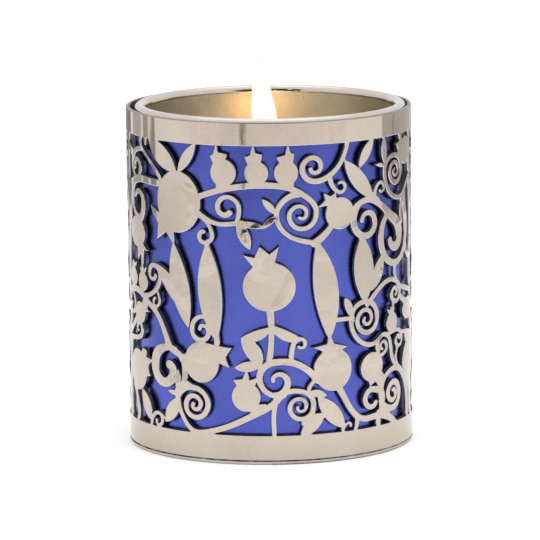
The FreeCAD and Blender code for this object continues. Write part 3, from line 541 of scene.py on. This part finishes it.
def into_metal(loop, sharpest=0.45):
    """At each point of a loop, the direction into the metal, lengthened at corners.

    Past the sharpest corner allowed, the direction gets no longer.
    """
    directions = []
    for before, here, after in zip(loop[-1:] + loop[:-1], loop, loop[1:] + loop[:1]):
        along, onward = (here - before).normalized(), (after - here).normalized()
        side = Vector((-along.y, along.x))
        middle = side + Vector((-onward.y, onward.x))
        middle = middle.normalized() if middle.length > 0.2 else -along
        directions.append(middle / max(middle.dot(side), sharpest))
    return directions


class Skin:
    """Vertices, faces and corner normals of a mesh in progress."""

    def __init__(self):
        self.points, self.faces, self.normals, self.slots = [], [], [], []

    def point(self, flat, radius):
        """Adds a point of the flat sheet, rolled to a radius, and gives its number."""
        angle = flat.x / SLEEVE_R
        self.points.append(Vector((radius * math.sin(angle), -radius * math.cos(angle),
                                   flat.y)) * MM)
        return len(self.points) - 1

    def face(self, corners, slot):
        """corners are (point, normal) pairs, counter-clockwise from outside."""
        self.faces.append([point for point, normal in corners])
        self.normals += [normal for point, normal in corners]
        self.slots.append(slot)

    def build(self, name, materials):
        mesh = bpy.data.meshes.new(name)
        mesh.from_pydata(self.points, [], self.faces)
        for material in materials:
            mesh.materials.append(material)
        mesh.polygons.foreach_set("material_index", self.slots)
        mesh.polygons.foreach_set("use_smooth", [True] * len(self.faces))
        mesh.normals_split_custom_set(self.normals)
        return in_scene(name, mesh)


def radial(flat):
    """Straight out from the axis at a flat point."""
    angle = flat.x / SLEEVE_R
    return Vector((math.sin(angle), -math.cos(angle), 0))


def in_plane(flat, direction):
    """A direction on the flat sheet, rolled round the axis with the sheet."""
    angle = flat.x / SLEEVE_R
    return Vector((math.cos(angle) * direction.x, math.sin(angle) * direction.x,
                   direction.y)).normalized()


def edges_of(face):
    """A face's sides, each as the pair of its points in no order."""
    return [frozenset(ends) for ends in zip(face, face[1:] + face[:1])]


def enclosed(faces, walls):
    """The faces inside the walls. A step from face to face across a wall goes in or out."""
    beside = {}
    for i, face in enumerate(faces):
        for edge in edges_of(face):
            beside.setdefault(edge, []).append(i)
    rim, start = next((edge, found[0]) for edge, found in beside.items() if len(found) == 1)
    inside = {start: rim in walls}
    waiting = [start]
    while waiting:
        i = waiting.pop()
        for edge in edges_of(faces[i]):
            for j in beside[edge]:
                if j not in inside:
                    inside[j] = inside[i] != (edge in walls)
                    waiting.append(j)
    return [faces[i] for i in inside if inside[i]]


def flat_fill(loops):
    """Points, triangles that fill the loops, and the points along each side of each loop."""
    points, sides = [], []
    for loop in loops:
        first = len(points)
        points += loop
        sides += [(first + i, first + (i + 1) % len(loop)) for i in range(len(loop))]
    starts, outline_sides = list(points), len(sides)
    low = min(p.y for p in points) - 1
    high = max(p.y for p in points) + 1
    half = max(p.x for p in points)
    strips = round(2 * half / STRIP)
    for i in range(1, strips):
        u = -half + 2 * half * (i + 0.37) / strips         # 0.37 keeps off the middle line
        points += [Vector((u, low)), Vector((u, high))]
        sides.append((len(points) - 2, len(points) - 1))
    points, edges, faces, sources, origins, _ = delaunay_2d_cdt(points, sides, [], 0, 1e-6)
    place_of = {source: i for i, found in enumerate(sources) for source in found}
    along = [{place_of[a], place_of[b]} for a, b in sides[:outline_sides]]
    walls = set()
    for edge, origin in zip(edges, origins):
        outline = [side for side in origin if side < outline_sides]
        for side in outline:
            along[side].update(edge)
        if len(outline) % 2:
            walls.add(frozenset(edge))
    chains = [sorted(found, key=lambda i: (points[i] - start).length)
              for found, start in zip(along, starts)]
    return points, enclosed(faces, walls), chains


def rounded_sleeve():
    """The sleeve with its real outline and the rounded, polished edges of the real sheet."""
    loops = [evened(loop) for loop in outlines(nodes["pierced_sleeve"])]
    loops = [loop for loop in loops if len(loop) > 3]
    ways = [into_metal(loop) for loop in loops]
    skin = Skin()
    back = SLEEVE_R - SLEEVE_WALL
    steps = [i * math.pi / 2 / EDGE_STEPS for i in range(EDGE_STEPS + 1)]
    points, triangles, chains = flat_fill([[flat + d * EDGE_ROUND for flat, d in zip(loop, way)]
                                           for loop, way in zip(loops, ways)])
    used = sorted({i for corners in triangles + chains for i in corners})
    front = {i: (skin.point(points[i], SLEEVE_R), radial(points[i])) for i in used}
    rear = {i: (skin.point(points[i], back), -radial(points[i])) for i in used}
    waiting = iter(chains)
    for loop, way in zip(loops, ways):
        outward = [in_plane(flat, -d) for flat, d in zip(loop, way)]
        faces_out = [radial(flat) for flat in loop]
        rings = []
        for turn in steps[:-1]:
            inset = EDGE_ROUND * (1 - math.cos(turn))
            radius = SLEEVE_R - EDGE_ROUND * (1 - math.sin(turn))
            flats = [flat + d * inset for flat, d in zip(loop, way)]
            rings.append([(skin.point(flat, radius),
                           o * math.cos(turn) + n * math.sin(turn))
                          for flat, o, n in zip(flats, outward, faces_out)])
        wall = [(skin.point(flat, back), o) for flat, o in zip(loop, outward)]
        rim = [(point, -n) for (point, o), n in zip(wall, faces_out)]
        bands = [(wall, rings[0], 1)] + [(a, b, 2) for a, b in zip(rings, rings[1:])]
        for i in range(len(loop)):
            j = (i + 1) % len(loop)
            for a, b, slot in bands:
                skin.face([a[i], a[j], b[j], b[i]], slot)
            chain = next(waiting)
            skin.face([rings[-1][i], rings[-1][j]] + [front[k] for k in reversed(chain)], 2)
            skin.face([rear[k] for k in chain] + [rim[j], rim[i]], 1)
    for triangle in triangles:
        skin.face([front[i] for i in triangle], 0)
        skin.face([rear[i] for i in reversed(triangle)], 1)
    sheet = polished_sheet("polished_sheet", (0.470, 0.407, 0.341), (0.515, 0.447, 0.379),
                           (0.555, 0.488, 0.420))
    return skin.build("sleeve_polished", [sheet, cut_wall(), rounded_edge()])


# ---------------------------------------------------------------- candle and flame

def smooth_value(table, at):
    """A smooth value at a height, from rows of (height, value)."""
    for i in range(len(table) - 1):
        if at <= table[i + 1][0] or i == len(table) - 2:
            break
    before = table[max(i - 1, 0)][1]
    a, b = table[i][1], table[i + 1][1]
    after = table[min(i + 2, len(table) - 1)][1]
    t = (at - table[i][0]) / (table[i + 1][0] - table[i][0])
    return 0.5 * (2 * a + (b - before) * t + (2 * before - 5 * a + 4 * b - after) * t ** 2
                  + (3 * a - before - 3 * b + after) * t ** 3)


# height above the table, then the flame's middle from the holder's axis, then its width
FLAME = [(67.0, 0.10, 0.6), (68.5, -0.20, 3.0), (71.0, -0.55, 5.4), (75.0, -0.80, 6.8),
         (79.9, -1.02, 6.7), (83.4, -1.35, 6.1), (86.2, -1.60, 5.0), (88.4, -1.78, 4.5),
         (91.9, -1.90, 3.5), (94.2, -1.95, 2.0), (95.5, -2.00, 0.05)]


def flame_shell(name, scale, material):
    """A pointed flame round the wick. scale shrinks it towards its own middle line."""
    rows, around = 56, 40
    low, high = FLAME[0][0], FLAME[-1][0]
    middle = 78.0              # the height that the shell shrinks towards
    points, faces = [], []
    for i in range(rows + 1):
        share = i / rows
        z = low + (high - low) * (1 - math.cos(math.pi * share)) / 2
        centre = smooth_value([(h, c) for h, c, w in FLAME], z)
        half = max(smooth_value([(h, w) for h, c, w in FLAME], z) / 2, 0.02) * scale
        height = middle + (z - middle) * (1 - (1 - scale) * 0.35)
        for j in range(around):
            angle = 2 * math.pi * j / around
            flicker = 1 + 0.02 * math.sin(2 * angle + 0.16 * z)
            points.append(Vector((centre + half * flicker * math.cos(angle),
                                  half * flicker * math.sin(angle), height)) * MM)
    for i in range(rows):
        for j in range(around):
            k = (j + 1) % around
            a, b = i * around, (i + 1) * around
            faces.append([a + j, a + k, b + k, b + j])
    faces.append(list(range(around))[::-1])
    faces.append([rows * around + j for j in range(around)])
    return shape(name, points, faces, material, smooth=True)


def melt_pool():
    """A shallow pool of melted wax whose edge creeps up a little round the wick.

    Its top is one surface of rings, and its flat underside is sunk in the wax.
    """
    around, rows, under = 96, 14, -0.15
    rings = [(i / rows, None) for i in range(rows + 1)] + [(1.0, under), (0.0, under)]
    points, faces = [], []
    for share, sunk in rings:
        for j in range(around):
            angle = 2 * math.pi * j / around
            edge = POOL_R + 0.9 * math.sin(3 * angle + 0.6) + 0.5 * math.sin(5 * angle)
            r = WICK_R + (edge - WICK_R) * share
            creep = 0.35 * math.exp(-(r - WICK_R) / 0.7)
            dome = 0.22 * (1 - share ** 6)
            height = WAX_TOP + (0.02 + (creep + dome) if sunk is None else sunk)
            points.append(Vector((CUP_X + r * math.cos(angle), r * math.sin(angle),
                                  height)) * MM)
    for i in range(len(rings)):
        for j in range(around):
            k = (j + 1) % around
            a, b = i * around, (i + 1) % len(rings) * around
            faces.append([a + j, b + j, b + k, a + k])
    return shape("melt_pool", points, faces, melted_wax(), smooth=True)


def flame_glow(flame):
    """A small warm lamp just to the right of the flame, which rides with it."""
    light = bpy.data.lights.new("flame_glow", "POINT")
    light.energy = 0.0037
    light.color = (1.0, 0.51, 0.17)
    light.shadow_soft_size = 0.003
    lamp = in_scene("flame_glow", light)
    lamp.location = Vector((4.6, 0.0, 76.0)) * MM
    lamp.visible_camera = False
    lamp.parent = flame


# ---------------------------------------------------------------- stage, light and camera

PLAIN, WARM = (1.0, 0.99, 0.985), (1.0, 0.98, 0.955)      # tints of the cards


def card(name, stops, reach=400.0, top=90.0, sway=0.0, tint=PLAIN, soft_foot=0.0):
    """A curved studio card round the holder. Only reflections show it.

    stops are (compass angle, brightness) pairs, in degrees from the front, positive to the
    right. sway makes its sides wave by that many degrees. Its foot fades in over soft_foot.
    """
    start, end = stops[0][0], stops[-1][0]
    columns, rows = max(2, round(abs(end - start) / 2)), 24      # 2 degrees to a column
    points, faces = [], []
    for i in range(rows + 1):
        height = top * i / rows
        drift = sway * math.sin(height * 0.62)
        for j in range(columns + 1):
            angle = math.radians(start + (end - start) * j / columns + drift)
            points.append(Vector((reach * math.sin(angle), -reach * math.cos(angle),
                                  height)) * MM)
    for i in range(rows):
        for j in range(columns):
            a, b = i * (columns + 1) + j, (i + 1) * (columns + 1) + j
            faces.append([a, b, b + 1, a + 1])
    s = Shader(name)
    _, angle, _, z = s.round_axis()
    brightest = max(level for place, level in stops)
    shades = [((place - start) / (end - start), tuple(level / brightest * t for t in tint))
              for place, level in stops]
    s.glow(s.ramp(s.spread(angle, math.radians(start), math.radians(end)), shades),
           s.spread(s.noise(s.place, 40.0), 0.3, 0.7, 0.96 * brightest, brightest),
           s.spread(z, 0.0, soft_foot * MM) if soft_foot else 1.0)
    piece = shape(name, points, faces, s.material)
    piece.visible_camera = False
    piece.visible_diffuse = False
    piece.visible_shadow = False


def stage():
    """The floor that the holder stands on, 12 m across."""
    reach = 6.0
    floor = shape("floor", [(-reach, -reach, 0), (reach, -reach, 0), (reach, reach, 0),
                            (-reach, reach, 0)], [[0, 1, 2, 3]], plain_floor())


def studio_air():
    """An even white studio: a bright window overhead, and a dark room round the camera."""
    world = bpy.data.worlds.new("studio")
    bpy.context.scene.world = world
    s = Nodes(world, "ShaderNodeOutputWorld", "Generated")
    white = s.ramp(s.axes()[2], [(0.0, (0.92, 0.92, 0.94)), (0.45, (1.05, 1.05, 1.07)),
                                 (1.0, (1.20, 1.20, 1.21))])
    rise = math.radians(19)    # the room is three overlapping dark patches, this far up
    patches = [s.towards((math.sin(turn) * math.cos(rise), -math.cos(turn) * math.cos(rise),
                          math.sin(rise)), 23, 16, 0.0, 0.96)
               for turn in (math.radians(-14), 0.0, math.radians(14))]
    room = s.calc("MAXIMUM", s.calc("MAXIMUM", patches[0], patches[1]), patches[2])
    back = s.add("ShaderNodeBackground")
    s.put(s.blend(room, white, (0.03, 0.03, 0.035)), back.inputs["Color"])
    s.put(s.towards((0, 0.30, 0.954), 32, 16, 1.0, 1.5), back.inputs["Strength"])
    s.put(back.outputs[0], s.surface)


def soft_light(name, place, aim, size, power):
    """A white lamp of that size that shines from its place towards its aim."""
    light = bpy.data.lights.new(name, "AREA")
    light.shape = "RECTANGLE"
    light.size, light.size_y = size
    light.energy = power
    lamp = in_scene(name, light)
    lamp.location = place
    lamp.rotation_euler = (Vector(aim) - Vector(place)).to_track_quat("-Z", "Y").to_euler()
    lamp.visible_camera = False
    lamp.visible_glossy = False


def camera():
    """The photograph's viewpoint, fitted to the holder's outlines in it."""
    place = (0, -1.1732, 0.2373)
    down = 9.459
    roll = -0.555
    data = bpy.data.cameras.new("camera")
    data.sensor_width = 36.0
    data.lens = 321.3
    data.clip_start, data.clip_end = 0.05, 50.0
    eye = in_scene("camera", data)
    eye.matrix_world = (Matrix.Translation(place)
                        @ Matrix.Rotation(math.radians(90 - down), 4, "X")
                        @ Matrix.Rotation(math.radians(roll), 4, "Z"))
    bpy.context.scene.camera = eye


# ---------------------------------------------------------------- put it together

camera()
stage()
studio_air()
soft_light("key", (-0.45, -0.55, 0.85), (0, 0, 0.03), (0.55, 0.55), 1.75)
soft_light("fill", (0.60, -0.35, 0.60), (0, 0, 0.03), (0.50, 0.50), 0.8)
soft_light("floor_wash", (0, 0.2, 1.3), (0, 0, 0), (1.6, 1.6), 3.2)
soft_light("foot_wash", (0.12, -0.33, 0.40), (0.02, -0.06, 0), (0.40, 0.20), 0.75)
for name, start, end, level, tint in (("card_left_a", -106.4, -100.6, 0.46, PLAIN),
                                      ("card_left_b", -118.4, -109.8, 0.56, PLAIN),
                                      ("card_left_c", -138.6, -121.6, 0.68, PLAIN),
                                      ("card_left_d", -179.0, -143.4, 0.34, PLAIN),
                                      ("card_right_a", 99.0, 114.6, 0.70, WARM),
                                      ("card_right_b", 114.6, 116.6, 0.36, WARM),
                                      ("card_right_c", 116.6, 172.0, 0.68, WARM)):
    card(name, ((start, level), (end, level)), tint=tint)
card("card_front", ((-62, 1.24), (-44, 1.18), (-30, 1.04), (-14, 1.10), (0, 1.12), (24, 1.12),
                    (40, 1.20), (62, 1.24)), reach=470.0, soft_foot=22.0)
for name, start, end, level in (("card_thin_light", -23.6, -21.8, 1.50),
                                ("card_thin_dark", -21.8, -18.8, 0.12),
                                ("card_thin_edge", -18.8, -17.4, 1.40)):
    card(name, ((start, level), (end, level)), reach=450.0, top=40.0, sway=-1.6)

sleeve = rounded_sleeve()
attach(sleeve, "holder")
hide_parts("pierced_sleeve")

dress("base_plate", base_metal())
dress("blue_liner", blue_anodised())
dress("seam_solder", solder_metal())
dress("cup", cup_steel())
dress("candle_tin", spun_steel("tin_metal", ((0.62, 0.62, 0.61), (0.72, 0.72, 0.71)),
                               0.22, 0.34, 0.000006))
dress("wick_sustainer", spun_steel("sustainer_metal", ((0.55, 0.55, 0.54), (0.66, 0.66, 0.64)),
                                   0.30, 0.42, 0.000006))
dress("wax", candle_wax())
dress("wick", burnt_wick())

pool = melt_pool()
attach(pool, "candle")
core = flame_shell("flame_core", 0.88, flame_light("flame_core_light", (1.00, 0.76, 0.42),
                                                   (1.00, 0.76, 0.43), 2.9, 1.0))
veil = flame_shell("flame_veil", 1.0, flame_light("flame_veil_light", (1.00, 0.90, 0.76),
                                                  (1.00, 0.88, 0.72), 0.86, 0.3))
for flame in (core, veil):
    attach(flame, "candle")
flame_glow(core)

view = bpy.context.scene.view_settings
view.view_transform = "Standard"
view.look = "None"
